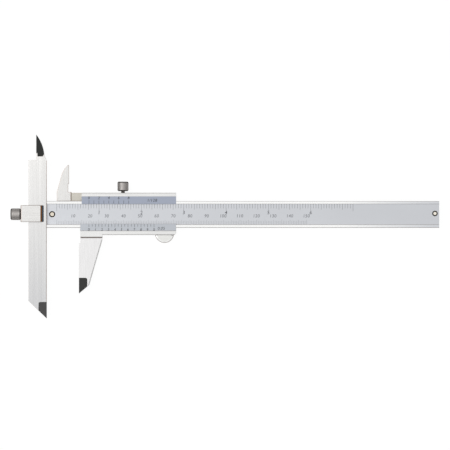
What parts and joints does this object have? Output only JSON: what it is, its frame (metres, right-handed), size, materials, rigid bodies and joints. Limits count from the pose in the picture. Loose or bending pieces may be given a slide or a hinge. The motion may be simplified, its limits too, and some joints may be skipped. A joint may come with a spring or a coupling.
{
  "type": "offset vernier caliper",
  "caption": "Vernier caliper whose fixed jaw is a bar that slides up or down in an end clamp, for measuring between faces on different levels.",
  "frame": {"origin": "on the surface the caliper lies on, under the middle of its box at rest", "axes": "+X along the beam from the offset bar to the free end, +Y across the beam towards the inside jaws and the lock screw, +Z out of the graduated face"},
  "size_m": [0.257, 0.1102, 0.0094],
  "materials": {
    "satin_chrome": "satin chrome face with bright ground rails",
    "ground_steel": "fine ground stainless steel",
    "vernier_satin": "matt satin chrome",
    "hard_tip": "dark grey ground carbide",
    "dark_steel": "blackened knurled steel",
    "brass": "plain milled"
  },
  "bodies": {
    "beam": {"beam": "satin_chrome", "clamp_body": "ground_steel", "clamp_pin": "ground_steel", "stop_pin": "ground_steel"},
    "offset_bar": {"offset_bar": "ground_steel", "bar_lower_tip": "hard_tip", "bar_upper_tip": "hard_tip"},
    "clamp_shoe": {"clamp_shoe": "brass"},
    "clamp_screw": {"clamp_screw": "dark_steel"},
    "slider": {"slider_body": "ground_steel", "slider_jaw_tip": "hard_tip", "inside_jaw": "ground_steel", "inside_jaw_screws": "dark_steel", "upper_vernier_plate": "vernier_satin", "lower_vernier_plate": "vernier_satin", "gib_strip": "brass", "gib_screws": "dark_steel", "thumb_rest": "ground_steel", "thumb_rest_pin": "ground_steel"},
    "lock_pad": {"lock_pad": "brass"},
    "lock_screw": {"lock_screw": "dark_steel"}
  },
  "joints": [
    {"name": "bar_slide", "type": "slide", "parent": "beam", "child": "offset_bar", "axis": [0, 1, 0], "range_m": [-0.025, 0.04]},
    {"name": "clamp_shoe_slide", "type": "slide", "parent": "beam", "child": "clamp_shoe", "axis": [-1, 0, 0], "range_m": [0, 0.00075]},
    {"name": "clamp_screw_turn", "type": "hinge", "parent": "clamp_shoe", "child": "clamp_screw", "pos_m": [-0.12585, 0.00737, 0.00543], "axis": [-1, 0, 0], "range_deg": [0, 541]},
    {"name": "slider_travel", "type": "slide", "parent": "beam", "child": "slider", "axis": [1, 0, 0], "range_m": [-0.0193, 0.1534]},
    {"name": "lock_pad_slide", "type": "slide", "parent": "slider", "child": "lock_pad", "axis": [0, 1, 0], "range_m": [0, 0.0007]},
    {"name": "lock_screw_turn", "type": "hinge", "parent": "lock_pad", "child": "lock_screw", "pos_m": [-0.0612, 0.02413, 0.004], "axis": [0, 1, 0], "range_deg": [0, 561]}
  ],
  "couplings": [
    {"joint": "clamp_screw_turn", "follows": "clamp_shoe_slide", "rad_per_m": 12566},
    {"joint": "lock_screw_turn", "follows": "lock_pad_slide", "rad_per_m": 13963}
  ]
}
